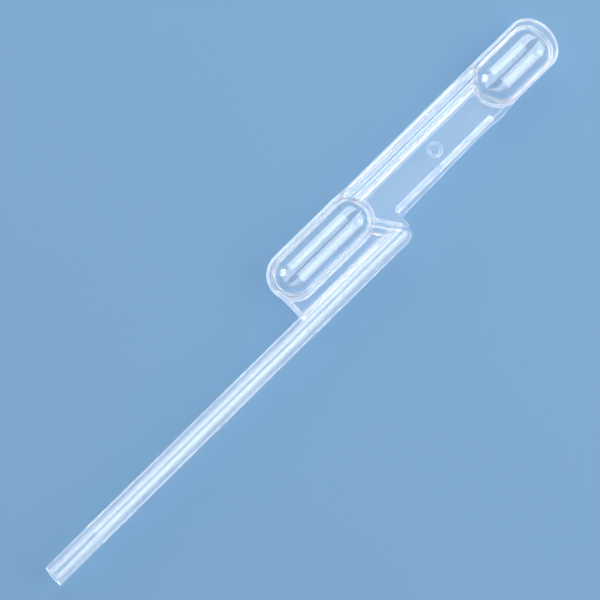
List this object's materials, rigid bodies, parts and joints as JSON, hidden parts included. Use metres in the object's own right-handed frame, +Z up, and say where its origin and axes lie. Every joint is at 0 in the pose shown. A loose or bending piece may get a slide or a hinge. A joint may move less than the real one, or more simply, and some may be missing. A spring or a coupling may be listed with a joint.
{
  "type": "volumetric pipette",
  "caption": "Disposable fixed-volume transfer pipette in translucent polyethylene: squeeze bulb, grip web, overflow bulb and measuring stem, with press-in bulb walls.",
  "frame": {"origin": "under the middle of the object's bounding box, on the surface it lies on", "axes": "+X along the stem from the dispensing tip towards the squeeze bulb, +Y from the stem towards the bulbs, +Z up out of the front face; the mould's parting plane is horizontal"},
  "size_m": [0.117, 0.0132, 0.0077],
  "materials": {
    "stem_wall": "natural translucent polyethylene, glossy, faint lengthwise draw lines",
    "bulb_wall": "natural translucent polyethylene, thin and glossy",
    "seam_web": "natural translucent polyethylene, pinched flat, slightly hazy"
  },
  "bodies": {
    "moulding": {"dispensing_tip": "stem_wall", "measuring_stem": "stem_wall", "stem_head": "stem_wall", "stem_seam_outer": "stem_wall", "stem_seam_inner": "stem_wall", "stem_shoulder": "seam_web", "overflow_port": "stem_wall", "overflow_port_flange": "seam_web", "overflow_bulb_front": "bulb_wall", "overflow_bulb_back": "bulb_wall", "overflow_bulb_rim": "seam_web", "overflow_bulb_end_rim": "seam_web", "gusset_web": "seam_web", "gusset_edge_bead": "seam_web", "air_channel_front": "stem_wall", "air_channel_back": "stem_wall", "air_channel_outer_flange": "seam_web", "air_channel_inner_flange": "seam_web", "grip_web": "seam_web", "grip_edge_flange": "seam_web", "grip_bead_front": "seam_web", "grip_bead_back": "seam_web", "cavity_mark": "seam_web", "squeeze_bulb_rim": "seam_web", "squeeze_bulb_front_wall": "bulb_wall", "squeeze_bulb_back_wall": "bulb_wall"},
    "front_press": {"squeeze_bulb_front_press": "bulb_wall"},
    "back_press": {"squeeze_bulb_back_press": "bulb_wall"}
  },
  "joints": [
    {"name": "front_wall_press", "type": "slide", "parent": "moulding", "child": "front_press", "axis": [0, 0, -1], "range_m": [0, 0.0027], "stiffness_N_per_m": 2000, "deforming": ["squeeze_bulb_front_wall"]},
    {"name": "back_wall_press", "type": "slide", "parent": "moulding", "child": "back_press", "axis": [0, 0, 1], "range_m": [0, 0.0027], "deforming": ["squeeze_bulb_back_wall"]}
  ],
  "couplings": [
    {"joint": "back_wall_press", "follows": "front_wall_press", "ratio": 1}
  ]
}
